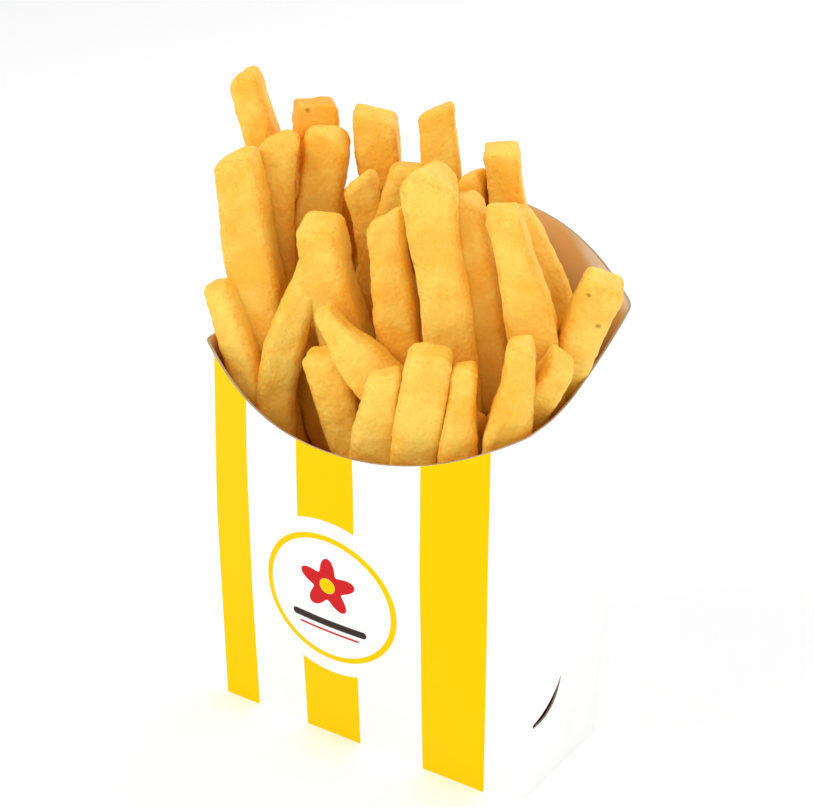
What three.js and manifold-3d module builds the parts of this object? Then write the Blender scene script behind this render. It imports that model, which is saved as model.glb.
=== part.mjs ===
// French fries in an upright paperboard carton, in millimetres.
// Frame: origin at the middle of the flat base, +Z up, -Y the low scooped front, +X the right side.
import * as THREE from "three";
import { mergeVertices } from "three/addons/utils/BufferGeometryUtils.js";
import Module from "manifold-3d";

const wasm = await Module();
wasm.setup();

// Driving dimensions of the carton: half widths and half depths at the base and at the rim.
const BOARD = 0.6;
const BASE_HALF = { width: 46.5, depth: 20.5 };
const RIM_HALF = { width: 47.5, depth: 24 };
const FRONT_CORNER_HEIGHT = 108;
const BACK_CORNER_HEIGHT = 124;
const FRONT_BULGE = 13;
const BACK_BULGE = 12;
const SCOOP = { drop: 13.4, power: 2.3 };
const SIDE_SWEEP_POWER = 2.4;
const ARCH = { rise: 14, power: 2.4 };
const WALL_ROWS = 14;
const PANEL_COLUMNS = { front: 24, side: 12, back: 24 };

// The tab slot that is cut through both side panels: its ends and pulls, in depth and height, and the bar that cuts it.
const SLOT = {
  thick: new THREE.Vector2(-14.6, 20.3),
  thin: new THREE.Vector2(-1.5, 29.9),
  lowerPull: new THREE.Vector2(-2.9, 19.2),
  upperPull: new THREE.Vector2(-5.7, 22.6),
  thickness: 1.1,
  setBack: 0.28,
  overreach: 10,
  segments: 8,
};

// The packed fries below the rim: one solid that stays clear of the board.
const PACKING = {
  gap: 0.5,
  frontTop: 86,
  slope: 0.42,
  rows: 4,
};

// The cut of a fry: the corners of its section are bevelled, its length is bent in a few steps, and a taper
// grows towards the head by this power.
const FRY = { bevel: 0.24, steps: 3, taperPower: 2 };

// Each fry by hand: head and foot, across and deep, bow, turn in degrees, and how much the head slants and narrows.
const fry = (head, foot, across, deep, bow = 0, turn = 0, slant = 0, taper = 0) => ({
  head: new THREE.Vector3(...head),
  foot: new THREE.Vector3(...foot),
  across,
  deep,
  bow,
  turn,
  slant,
  taper,
});

const BACK_ROW = [
  fry([-58.5, 8, 167.5], [-26.5, 15, 84.5], 10, 9, -2, 28, 0.3, 0.1),
  fry([-40, 14, 161.5], [-36.5, 11, 75.5], 11, 10, 0, 44, 0, 0),
  fry([-32.5, 9, 157.5], [-38.5, 6, 72.5], 12, 10, -2, 28, -0.2, 0),
  fry([-25, 18, 160.5], [-17.5, 18, 73], 11.4, 9.5, 1, 30, -0.3, 0),
  fry([-6, 18, 166], [1.5, 18, 75.5], 10.2, 9, 1, 33, 0.4, 0.05),
  fry([14, 16, 160.5], [19.5, 21, 74.5], 13, 10, -1, 30, 0, 0.3),
  fry([7.5, 13, 153.5], [13.5, 20, 75.5], 9, 9, 0, 10, 0.4, 0.3),
  fry([22, 8, 148.5], [39, 19, 98.5], 10, 9, 1, 33, 0, 0.1),
];

const MIDDLE_ROW = [
  fry([-44, -14, 156], [-31.5, -8, 66.5], 13.2, 11, -1.8, 25, 0.2, 0.12),
  fry([-40.5, -2, 157.7], [-41, 0, 112], 10.6, 10, -2, 30, 0.1, 0),
  fry([-18.5, 2, 150], [-8.5, 12, 75.5], 10, 9, 0, 30, 0.7, 0.15),
  fry([-7.5, 8, 153.5], [-25.5, 0, 84], 10.5, 9, 0, 30, 0.2, 0.1),
  fry([-19.5, -14, 144], [-5.5, -3, 72.5], 12.2, 11.5, -2, 18, -0.2, 0.1),
  fry([-2.5, -10, 148], [8.5, -6, 66.5], 11, 9.5, -1.5, 30, 0.55, 0.1),
  fry([9, -10, 163], [20.5, -7, 67.5], 12.8, 11, 1.2, 33, 0, -0.08),
  fry([15, -4, 155], [28.5, 3, 68.5], 10.5, 9, 1, 30, -0.25, 0.1),
  fry([29, -8, 156], [39, 5, 75.5], 12, 10, 2.5, 30, -0.1, 0.25),
  fry([50.5, 4, 139.5], [26, 5, 80.5], 10.6, 10, 1, 30, 0, 0.05),
  fry([-13.2, -22, 124.4], [9.5, -17.5, 102.5], 13.6, 9, -1, 30, -0.2, 0.6),
];

const FRONT_ROW = [
  fry([-46, -19, 122.5], [-27, -17, 55.5], 9.2, 8.5, 1, 10, 0, 0.1),
  fry([-18.5, -14, 137.5], [-27, -20, 58], 10.4, 9.5, -6.5, 30, 0.2, 0.3),
  fry([-13, -22, 113.5], [4.5, -16, 56], 10.5, 9, 0, 26, -0.1, 0),
  fry([9, -27, 116], [-3.5, -24, 62], 12, 9, 1, 30, 0.5, 0.25),
  fry([20.2, -25, 123.5], [11, -23, 61], 11.8, 10, 0.5, 30, 0, 0.05),
  fry([27.8, -22, 120.5], [26.8, -23, 62], 10.2, 9, 0, 30, 0.2, 0.35),
  fry([40.5, -18, 129.5], [33, -19, 64], 12.2, 9.5, 0.5, 30, 0, 0.4),
  fry([47.5, -9, 122.5], [16, -10, 64], 12.6, 9, 0, 33, -0.3, 0.35),
];

const HIDDEN_ROW = [
  fry([-33, 24, 137], [-30, 21, 70], 10, 10, 0, 5),
  fry([-13, 27, 140], [-12, 23, 70], 10, 9, 0, 20, 0.3),
  fry([3, 27, 137], [4, 24, 70], 9.5, 10, 0, 50),
  fry([16, 26, 133], [14, 23, 70], 10, 10, 0, 10, -0.3),
  fry([27, 10, 124], [26, 14, 70], 10, 10, 0, 20),
  fry([12, 5, 136], [15, 10, 70], 10, 9, 0, 40),
  fry([0, 6, 138], [2, 9, 70], 9, 10, 0, 10, 0.2),
  fry([-28, -3, 130], [-25, -5, 70], 10, 10, 0, 60),
  fry([-10, -3, 128], [-6, -8, 70], 10, 9, 0, 25, -0.2),
  fry([36, -7, 118], [28, -6, 70], 10, 10, 0, 15),
  fry([-33, -14, 112], [-28, -13, 60], 10, 9, 0, 30),
  fry([-13, -19, 103], [-14, -18, 60], 9, 9, 0, 45),
  fry([18, -14, 110], [16, -13, 60], 9, 10, 0, 35),
];

// Half width, half depth and panel bulge at a height, and the height of the rim round the carton.
const between = (base, rim, z) => base + ((rim - base) * z) / FRONT_CORNER_HEIGHT;
const halfWidth = (z) => between(BASE_HALF.width, RIM_HALF.width, z);
const halfDepth = (z) => between(BASE_HALF.depth, RIM_HALF.depth, z);
const swell = (z) => Math.sin((Math.min(z / FRONT_CORNER_HEIGHT, 1) * Math.PI) / 2);
const dome = (across, power) => 1 - Math.abs(across) ** power;

// One panel of the wall: where a point lies, from -1 to 1 across the panel, and how high its rim is there.
const PANELS = [
  {
    columns: PANEL_COLUMNS.front,
    at: (a, z, inset) => [
      a * (halfWidth(z) - inset),
      -(halfDepth(z) - inset) - FRONT_BULGE * swell(z) * dome(a, 2),
    ],
    rim: (a) => FRONT_CORNER_HEIGHT - SCOOP.drop * dome(a, SCOOP.power),
  },
  {
    columns: PANEL_COLUMNS.side,
    at: (a, z, inset) => [halfWidth(z) - inset, a * (halfDepth(z) - inset)],
    rim: (a) => sideRim(a),
  },
  {
    columns: PANEL_COLUMNS.back,
    at: (a, z, inset) => [
      -a * (halfWidth(z) - inset),
      halfDepth(z) - inset + BACK_BULGE * swell(z) * dome(a, 2),
    ],
    rim: (a) => BACK_CORNER_HEIGHT + ARCH.rise * dome(a, ARCH.power),
  },
  {
    columns: PANEL_COLUMNS.side,
    at: (a, z, inset) => [-(halfWidth(z) - inset), -a * (halfDepth(z) - inset)],
    rim: (a) => sideRim(-a),
  },
];

// The side rim sweeps up from the front corner to the back corner.
function sideRim(towardsBack) {
  const along = (towardsBack + 1) / 2;
  return FRONT_CORNER_HEIGHT + (BACK_CORNER_HEIGHT - FRONT_CORNER_HEIGHT) * along ** SIDE_SWEEP_POWER;
}

// The columns of the whole wall, in order round the carton.
function wallColumns() {
  return PANELS.flatMap((panel) =>
    Array.from({ length: panel.columns }, (_, i) => ({
      panel,
      across: (2 * i) / panel.columns - 1,
    })),
  );
}

// A closed surface from rings of equal length, each joined to the next, with a fan on the first and the last.
function closedRings(rings) {
  const count = rings[0].length;
  const points = rings.flat();
  const faces = [];
  for (let r = 0; r + 1 < rings.length; r++) {
    for (let i = 0; i < count; i++) {
      const a = r * count + i;
      const b = r * count + ((i + 1) % count);
      faces.push(a, b, b + count, a, b + count, a + count);
    }
  }
  const middle = (ring) =>
    ring.reduce((sum, p) => sum.add(p), new THREE.Vector3()).divideScalar(ring.length);
  const last = (rings.length - 1) * count;
  points.push(middle(rings[0]), middle(rings[rings.length - 1]));
  for (let i = 0; i < count; i++) {
    const next = (i + 1) % count;
    faces.push(points.length - 2, next, i);
    faces.push(points.length - 1, last + i, last + next);
  }
  const geometry = new THREE.BufferGeometry().setFromPoints(points);
  geometry.setIndex(faces);
  return geometry;
}

// A solid from a closed geometry, and back again.
function solid(geometry) {
  const bare = new THREE.BufferGeometry();
  bare.setAttribute("position", geometry.getAttribute("position"));
  bare.setIndex(geometry.getIndex());
  const merged = mergeVertices(bare, 1e-3);
  return new wasm.Manifold(
    new wasm.Mesh({
      numProp: 3,
      vertProperties: new Float32Array(merged.attributes.position.array),
      triVerts: new Uint32Array(merged.index.array),
    }),
  );
}

function geometryOf(body) {
  const mesh = body.getMesh();
  const geometry = new THREE.BufferGeometry();
  geometry.setAttribute("position", new THREE.BufferAttribute(new Float32Array(mesh.vertProperties), 3));
  geometry.setIndex(new THREE.BufferAttribute(new Uint32Array(mesh.triVerts), 1));
  geometry.computeVertexNormals();
  return geometry;
}

// The folded board: up the outside, over the rim, down the inside and across the floor.
function cartonShell() {
  const columns = wallColumns();
  const ring = (inset, share, floor) =>
    columns.map(({ panel, across }) => {
      const z = floor + (panel.rim(across) - floor) * share;
      return new THREE.Vector3(...panel.at(across, z, inset), z);
    });
  const shares = Array.from({ length: WALL_ROWS + 1 }, (_, i) => i / WALL_ROWS);
  return closedRings([
    ...shares.map((share) => ring(0, share, 0)),
    ...shares.reverse().map((share) => ring(BOARD, share, BOARD)),
  ]);
}

// The curved slot as a bar right across the carton, to be cut out of both side panels.
function slotBar() {
  const { thick, thin, lowerPull, upperPull, thickness, setBack, overreach, segments } = SLOT;
  const outline = new THREE.Shape();
  outline.moveTo(thick.x, thick.y);
  outline.quadraticCurveTo(lowerPull.x, lowerPull.y, thin.x, thin.y);
  outline.quadraticCurveTo(upperPull.x, upperPull.y, thick.x - setBack, thick.y + thickness);
  const reach = RIM_HALF.width + overreach;
  const bar = new THREE.ExtrudeGeometry(outline, {
    depth: 2 * reach,
    bevelEnabled: false,
    curveSegments: segments,
  });
  const upright = new THREE.Matrix4().makeBasis(
    new THREE.Vector3(0, 1, 0),
    new THREE.Vector3(0, 0, 1),
    new THREE.Vector3(1, 0, 0),
  );
  return bar.applyMatrix4(upright).translate(-reach, 0, 0);
}

// The section of a fry: a rectangle with bevelled corners.
function fryOutline(across, deep) {
  const x = across / 2;
  const y = deep / 2;
  const c = Math.min(x, y) * 2 * FRY.bevel;
  return new THREE.Shape([
    new THREE.Vector2(-x + c, -y),
    new THREE.Vector2(x - c, -y),
    new THREE.Vector2(x, -y + c),
    new THREE.Vector2(x, y - c),
    new THREE.Vector2(x - c, y),
    new THREE.Vector2(-x + c, y),
    new THREE.Vector2(-x, y - c),
    new THREE.Vector2(-x, -y + c),
  ]);
}

// One cut stick of potato, standing from its foot to its head.
function fryStick({ head, foot, across, deep, bow, turn, slant, taper }) {
  const length = head.distanceTo(foot);
  const stick = new THREE.ExtrudeGeometry(fryOutline(across, deep), {
    depth: length,
    steps: FRY.steps,
    bevelEnabled: false,
  });
  const place = stick.getAttribute("position");
  for (let i = 0; i < place.count; i++) {
    place.setX(i, place.getX(i) * (1 - taper * (place.getZ(i) / length) ** FRY.taperPower));
  }
  stick.rotateZ(THREE.MathUtils.degToRad(turn));
  for (let i = 0; i < place.count; i++) {
    const share = place.getZ(i) / length;
    place.setZ(i, place.getZ(i) + slant * place.getX(i) * share);
    place.setX(i, place.getX(i) + bow * 4 * share * (1 - share));
  }
  const lean = new THREE.Quaternion().setFromUnitVectors(
    new THREE.Vector3(0, 0, 1),
    head.clone().sub(foot).normalize(),
  );
  return stick.applyQuaternion(lean).translate(foot.x, foot.y, foot.z);
}

// What is packed below the rim: it fills the carton from wall to wall, up to a slope that rises to the back.
function packedFries() {
  const inset = BOARD + PACKING.gap;
  const floor = BOARD + PACKING.gap;
  const top = (y) => PACKING.frontTop + PACKING.slope * (y + RIM_HALF.depth + FRONT_BULGE);
  const columns = wallColumns();
  const ring = (share) =>
    columns.map(({ panel, across }) => {
      const edge = panel.at(across, PACKING.frontTop, inset);
      const z = floor + (top(edge[1]) - floor) * share;
      return new THREE.Vector3(...panel.at(across, z, inset), z);
    });
  return closedRings(Array.from({ length: PACKING.rows + 1 }, (_, i) => ring(i / PACKING.rows)));
}

function fryHeap() {
  const sticks = [...BACK_ROW, ...MIDDLE_ROW, ...FRONT_ROW, ...HIDDEN_ROW];
  return sticks.reduce(
    (heap, stick) => heap.add(solid(fryStick(stick))),
    solid(packedFries()),
  );
}

function named(name, geometry, color, roughness) {
  const material = new THREE.MeshStandardMaterial({ color, roughness, metalness: 0 });
  const mesh = new THREE.Mesh(geometry, material);
  mesh.name = name;
  return mesh;
}

const carton = solid(cartonShell()).subtract(solid(slotBar()));
const object = new THREE.Group();
object.add(named("carton", geometryOf(carton), 0xf7f7f4, 0.55));
object.add(named("fries", geometryOf(fryHeap()), 0xf2b93b, 0.6));

export default object;
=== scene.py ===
"""French fries in a paperboard carton: the visual model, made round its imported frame.

Fields are in millimetres and degrees, and meshes are in metres. The frame's origin is the middle of the flat
base, +Z is up, -Y is the low scooped front with the print and +X is the right side.
"""

import logging
import math
import random
from collections.abc import Callable, Sequence
from dataclasses import dataclass, field
from enum import Enum

import bmesh
import bpy
import numpy as np
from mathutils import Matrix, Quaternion, Vector


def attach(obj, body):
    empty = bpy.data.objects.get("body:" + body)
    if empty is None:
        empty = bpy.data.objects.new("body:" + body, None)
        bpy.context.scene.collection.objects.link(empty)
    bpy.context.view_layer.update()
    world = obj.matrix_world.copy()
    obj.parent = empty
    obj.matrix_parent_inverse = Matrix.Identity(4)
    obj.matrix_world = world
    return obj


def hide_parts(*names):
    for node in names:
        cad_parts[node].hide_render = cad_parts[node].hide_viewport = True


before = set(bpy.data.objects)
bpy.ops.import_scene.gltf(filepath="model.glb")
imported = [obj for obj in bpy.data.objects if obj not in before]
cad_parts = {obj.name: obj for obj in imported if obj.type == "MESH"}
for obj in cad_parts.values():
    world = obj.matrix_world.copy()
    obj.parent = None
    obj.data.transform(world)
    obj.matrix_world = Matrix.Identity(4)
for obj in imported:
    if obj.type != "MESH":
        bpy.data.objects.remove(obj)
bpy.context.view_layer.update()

MM = 0.001
BODY = "root"

Colour = tuple[float, float, float]
Triple = tuple[float, float, float]
Feed = object
Socket = bpy.types.NodeSocket
Material = bpy.types.Material
Mesh = bpy.types.Mesh
Piece = bpy.types.Object

log = logging.getLogger("fries_carton")


class Slot(Enum):
    """The record's material slots."""

    BOARD = "board"
    POTATO = "potato"


class Row(Enum):
    """Where a fry stands in the carton."""

    BACK = "back_fries"
    MIDDLE = "middle_fries"
    FRONT = "front_fries"
    INNER = "inner_fries"


def rgba(colour: Colour) -> tuple[float, float, float, float]:
    """An opaque colour for a colour socket."""
    return (*colour, 1.0)


def smooth(share: float) -> float:
    """An S-shaped step from 0 to 1, flat at both ends."""
    share = min(max(share, 0.0), 1.0)
    return share * share * (3 - 2 * share)


# ---------------------------------------------------------------------------------------------- node graphs


class Graph:
    """A node tree, with short calls that add nodes and join them."""

    def __init__(self, tree: bpy.types.NodeTree) -> None:
        """Wraps a shader or geometry node tree.

        Args:
            tree: the tree that nodes are added to.
        """
        self.tree = tree

    def feed(self, socket: Socket, value: Feed) -> None:
        """Joins an output to an input socket, or sets the socket's own value.

        Args:
            socket: the input.
            value: an output socket, or a plain value.
        """
        if isinstance(value, Socket):
            self.tree.links.new(value, socket)
        else:
            socket.default_value = value

    def node(self, kind: str, feeds: dict[str | int, Feed] | None = None, **settings: Feed) -> bpy.types.Node:
        """Adds a node.

        Args:
            kind: the node's Blender type.
            feeds: what goes into its inputs, by name or number.
            settings: the node's own properties.

        Returns:
            The new node.
        """
        node = self.tree.nodes.new(kind)
        for name, value in settings.items():
            setattr(node, name, value)
        for key, value in (feeds or {}).items():
            self.feed(node.inputs[key], value)
        return node

    def math(self, operation: str, *values: Feed, clamp: bool = False) -> Socket:
        """The result of a Math node.

        Args:
            operation: the node's operation.
            values: its inputs in order.
            clamp: keep the result between 0 and 1.

        Returns:
            The output socket.
        """
        feeds = dict(enumerate(values))
        return self.node("ShaderNodeMath", feeds, operation=operation, use_clamp=clamp).outputs[0]

    def vector(self, operation: str, *values: Feed) -> Socket:
        """The result of a Vector Math node; the second value of SCALE is the factor.

        Args:
            operation: the node's operation.
            values: its inputs in order.

        Returns:
            The output socket, a number for LENGTH and a vector otherwise.
        """
        feeds: dict[str | int, Feed] = dict(enumerate(values))
        if operation == "SCALE":
            feeds = {0: values[0], "Scale": values[1]}
        node = self.node("ShaderNodeVectorMath", feeds, operation=operation)
        return node.outputs["Value" if operation in ("LENGTH", "DOT_PRODUCT", "DISTANCE") else "Vector"]

    def combine(self, x: Feed, y: Feed, z: Feed) -> Socket:
        """A vector from three numbers."""
        return self.node("ShaderNodeCombineXYZ", {0: x, 1: y, 2: z}).outputs[0]

    def separate(self, vector: Feed) -> list[Socket]:
        """The three numbers of a vector."""
        return list(self.node("ShaderNodeSeparateXYZ", {0: vector}).outputs)

    def mix(self, factor: Feed, first: Feed, second: Feed, blend: str = "MIX") -> Socket:
        """A blend of two colours.

        Args:
            factor: how much of the second colour shows.
            first: the colour at 0.
            second: the colour at 1.
            blend: the blend type.

        Returns:
            The mixed colour.
        """
        node = self.node("ShaderNodeMix", data_type="RGBA", blend_type=blend)
        for socket, value in ((node.inputs[0], factor), (node.inputs[6], first), (node.inputs[7], second)):
            self.feed(socket, value)
        return node.outputs[2]

    def remap(
        self, value: Feed, low: float, high: float, to_low: float = 0.0, to_high: float = 1.0
    ) -> Socket:
        """A number moved smoothly from one range to another and held at its ends.

        Args:
            value: the number.
            low: the value that gives to_low.
            high: the value that gives to_high.
            to_low: the result at low.
            to_high: the result at high.

        Returns:
            The new number.
        """
        feeds = {0: value, 1: low, 2: high, 3: to_low, 4: to_high}
        return self.node("ShaderNodeMapRange", feeds, interpolation_type="SMOOTHSTEP").outputs[0]

    def noise(
        self, place: Feed, size: Feed, detail: float = 3.0, rough: float = 0.5, w: Feed | None = None
    ) -> Socket:
        """Noise between 0 and 1 with features of a given size.

        Args:
            place: where it is read, in metres.
            size: the features' size in millimetres, or a socket with their frequency.
            detail: octaves.
            rough: how strong the fine octaves are.
            w: a fourth coordinate, or None for plain noise.

        Returns:
            The noise value.
        """
        scale = size if isinstance(size, Socket) else 1 / (size * MM)
        feeds: dict[str | int, Feed] = {"Vector": place, "Scale": scale, "Detail": detail, "Roughness": rough}
        dimensions = "3D"
        if w is not None:
            feeds["W"] = w
            dimensions = "4D"
        node = self.tree.nodes.new("ShaderNodeTexNoise")
        node.noise_dimensions = dimensions
        for key, value in feeds.items():
            self.feed(node.inputs[key], value)
        return node.outputs[0]


class Group(Graph):
    """A node group with named inputs and outputs, built once and used by name."""

    def __init__(
        self, name: str, kind: str, inputs: dict[str, tuple[str, Feed]], outputs: dict[str, str]
    ) -> None:
        """Makes an empty group with its sockets.

        Args:
            name: the group's name.
            kind: ShaderNodeTree or GeometryNodeTree.
            inputs: each input's socket type and default, by name.
            outputs: each output's socket type, by name.
        """
        super().__init__(bpy.data.node_groups.new(name, kind))
        self.sockets: dict[str, str] = {}
        for label, (socket_type, default) in inputs.items():
            socket = self.tree.interface.new_socket(label, in_out="INPUT", socket_type=socket_type)
            if default is not None:
                socket.default_value = default
            self.sockets[label] = socket.identifier
        for label, socket_type in outputs.items():
            self.tree.interface.new_socket(label, in_out="OUTPUT", socket_type=socket_type)
        self.given = self.node("NodeGroupInput").outputs
        self.result = self.node("NodeGroupOutput").inputs

    def finish(self, **results: Feed) -> None:
        """Joins the group's results to its outputs; a name's underscore stands for a space."""
        for label, value in results.items():
            self.feed(self.result[label.replace("_", " ")], value)


class FibreGroup(Group):
    """Paperboard: soft clouding of the sheet and the fine relief of its fibres."""

    def __init__(self) -> None:
        """Builds the group."""
        super().__init__(
            "BoardFibre",
            "ShaderNodeTree",
            {"Cloud Size": ("NodeSocketFloat", 9.0), "Fibre Size": ("NodeSocketFloat", 0.35)},
            {"Cloud": "NodeSocketFloat", "Height": "NodeSocketFloat"},
        )
        place = self.node("ShaderNodeTexCoord").outputs["Object"]
        cloud = self.noise(place, self.frequency("Cloud Size"), detail=4.0)
        long_grain = self.vector("MULTIPLY", place, (1.0, 1.0, 0.35))
        fibre = self.noise(long_grain, self.frequency("Fibre Size"), detail=3.0, rough=0.65)
        self.finish(Cloud=cloud, Height=fibre)

    def frequency(self, label: str) -> Socket:
        """A size input in millimetres, as the frequency of a pattern in metres."""
        return self.math("DIVIDE", 1 / MM, self.given[label])


class FriedGroup(Group):
    """Fried potato: golden patches, fine pits and blisters, and a few brown specks."""

    def __init__(self) -> None:
        """Builds the group."""
        super().__init__(
            "FriedSurface",
            "ShaderNodeTree",
            {
                "Patch Size": ("NodeSocketFloat", 9.0),
                "Pit Size": ("NodeSocketFloat", 1.3),
                "Speck Share": ("NodeSocketFloat", 0.05),
            },
            {
                "Patches": "NodeSocketFloat",
                "Mottle": "NodeSocketFloat",
                "Specks": "NodeSocketFloat",
                "Height": "NodeSocketFloat",
            },
        )
        place = self.node("ShaderNodeTexCoord").outputs["Object"]
        patches = self.noise(place, self.frequency("Patch Size"), detail=2.0)
        mottle = self.noise(place, self.frequency("Pit Size"), detail=4.0, rough=0.6)
        pits = self.node(
            "ShaderNodeTexVoronoi",
            {"Vector": place, "Scale": self.frequency("Pit Size")},
            feature="SMOOTH_F1",
        ).outputs["Distance"]
        height = self.math("MULTIPLY_ADD", pits, 0.5, self.math("MULTIPLY", mottle, 0.5))
        speck_place = self.vector("ADD", place, (0.31, 0.17, 0.05))
        cell = self.node("ShaderNodeTexVoronoi", {"Vector": speck_place, "Scale": 1 / (7.0 * MM)})
        chance = self.separate(cell.outputs["Color"])[0]
        chosen = self.math("LESS_THAN", chance, self.given["Speck Share"])
        dot = self.remap(cell.outputs["Distance"], 0.085, 0.02)
        self.finish(Patches=patches, Mottle=mottle, Specks=self.math("MULTIPLY", chosen, dot), Height=height)

    def frequency(self, label: str) -> Socket:
        """A size input in millimetres, as the frequency of a pattern in metres."""
        return self.math("DIVIDE", 1 / MM, self.given[label])


class Finish:
    """A finish: a Principled shader with the finish's even values set on its own sockets."""

    name: str

    def start(self, **even: float) -> tuple[Material, Graph, bpy.types.Node]:
        """Makes the material.

        Args:
            even: values that are the same all over; an underscore stands for a space.

        Returns:
            The material, its graph, and its Principled shader.
        """
        material = bpy.data.materials.new(self.name)
        material.use_nodes = True
        graph = Graph(material.node_tree)
        shader = material.node_tree.nodes["Principled BSDF"]
        for label, value in even.items():
            shader.inputs[label.replace("_", " ")].default_value = value
        return material, graph, shader

    @staticmethod
    def bump(graph: Graph, shader: bpy.types.Node, height: Socket, depth: float) -> None:
        """Puts relief on the surface.

        Args:
            graph: the material's graph.
            shader: its Principled shader.
            height: the relief, from 0 to 1.
            depth: how deep it is, in millimetres.
        """
        node = graph.node("ShaderNodeBump", {"Height": height, "Distance": depth * MM, "Strength": 1.0})
        graph.feed(shader.inputs["Normal"], node.outputs[0])


@dataclass(frozen=True)
class PotatoFinish(Finish):
    """Fried potato, golden on its faces, toasted along its edges and paler where it fried less."""

    fried: FriedGroup
    name: str = "potato"
    pale: Colour = (0.96, 0.65, 0.11)
    golden: Colour = (0.96, 0.46, 0.024)
    toasted: Colour = (0.86, 0.25, 0.008)
    speck: Colour = (0.28, 0.085, 0.010)
    patch_size: float = 9.0
    pit_size: float = 0.9
    relief: float = 0.3
    specks: float = 0.05
    eyes: tuple[Triple, ...] = (
        (10.3, -17.0, 140.7),
        (49.3, -1.6, 136.7),
        (50.8, 1.1, 128.1),
        (-38.8, 8.9, 161.0),
    )
    eye_reach: tuple[float, float] = (0.95, 0.2)
    eye_depth: float = 0.65

    def material(self) -> Material:
        """Builds the material, which reads each fry's tone and edge from its mesh.

        Returns:
            The material.
        """
        material, graph, shader = self.start(
            Roughness=0.5,
            Subsurface_Weight=0.3,
            Subsurface_Scale=2.0 * MM,
            Specular_IOR_Level=0.3,
        )
        shader.inputs["Subsurface Radius"].default_value = (1.0, 0.55, 0.20)
        group = graph.node("ShaderNodeGroup", node_tree=self.fried.tree)
        group.inputs["Patch Size"].default_value = self.patch_size
        group.inputs["Pit Size"].default_value = self.pit_size
        group.inputs["Speck Share"].default_value = self.specks
        tone = graph.node("ShaderNodeAttribute", attribute_name="tone").outputs["Fac"]
        edge = graph.node("ShaderNodeAttribute", attribute_name="edge").outputs["Fac"]
        patches = graph.remap(group.outputs["Patches"], 0.34, 0.66)
        mottle = graph.remap(group.outputs["Mottle"], 0.35, 0.7)
        drift = graph.math("MULTIPLY_ADD", patches, 0.55, graph.math("MULTIPLY", mottle, 0.25))
        fried = graph.math("ADD", graph.math("SUBTRACT", tone, 0.35), drift, clamp=True)
        body = graph.mix(fried, rgba(self.pale), rgba(self.golden))
        rim = graph.math("MULTIPLY", edge, graph.remap(group.outputs["Mottle"], 0.3, 0.75, 0.0, 0.55))
        over = graph.math("MULTIPLY", graph.remap(tone, 0.6, 1.2), 0.5)
        crisp = graph.math("ADD", rim, over, clamp=True)
        body = graph.mix(crisp, body, rgba(self.toasted))
        specks = graph.math("MULTIPLY", group.outputs["Specks"], 0.8)
        spots = graph.math("MAXIMUM", specks, self.eye_mask(graph))
        colour = graph.mix(spots, body, rgba(self.speck))
        graph.feed(shader.inputs["Base Color"], colour)
        graph.feed(shader.inputs["Roughness"], graph.remap(group.outputs["Mottle"], 0.2, 0.8, 0.38, 0.62))
        self.bump(graph, shader, group.outputs["Height"], self.relief)
        return material

    def eye_mask(self, graph: Graph) -> Feed:
        """Where the few dark eyes of the potato are.

        Args:
            graph: the material's graph.

        Returns:
            The mask.
        """
        place = graph.node("ShaderNodeTexCoord").outputs["Object"]
        mask: Feed = 0.0
        for eye in self.eyes:
            far = graph.vector("DISTANCE", place, tuple(c * MM for c in eye))
            mask = graph.math("MAXIMUM", mask, graph.remap(far, *(reach * MM for reach in self.eye_reach)))
        return graph.math("MULTIPLY", mask, self.eye_depth)


@dataclass(frozen=True)
class Arch:
    """A rim that rises from two corners to a domed middle."""

    corner: float
    rise: float
    power: float
    half_width: float


@dataclass(frozen=True)
class BoardFinish(Finish):
    """A face of the paperboard: its colour, how shiny its coating is, and how its fibres show."""

    fibre: FibreGroup
    name: str
    colour: Colour
    clouded: Colour
    roughness: float = 0.5
    relief: float = 0.02
    fibre_size: float = 0.35

    def begin(self) -> tuple[Material, Graph, bpy.types.Node, Socket]:
        """Builds the bare board.

        Returns:
            The material, its graph, its shader, and the board's colour.
        """
        material, graph, shader = self.start(Roughness=self.roughness, Specular_IOR_Level=0.05)
        group = graph.node("ShaderNodeGroup", node_tree=self.fibre.tree)
        group.inputs["Fibre Size"].default_value = self.fibre_size
        cloud = graph.remap(group.outputs["Cloud"], 0.3, 0.7)
        colour = graph.mix(cloud, rgba(self.colour), rgba(self.clouded))
        self.bump(graph, shader, group.outputs["Height"], self.relief)
        return material, graph, shader, colour

    def material(self) -> Material:
        """Builds the material.

        Returns:
            The material.
        """
        material, graph, shader, colour = self.begin()
        graph.feed(shader.inputs["Base Color"], colour)
        return material


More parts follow.
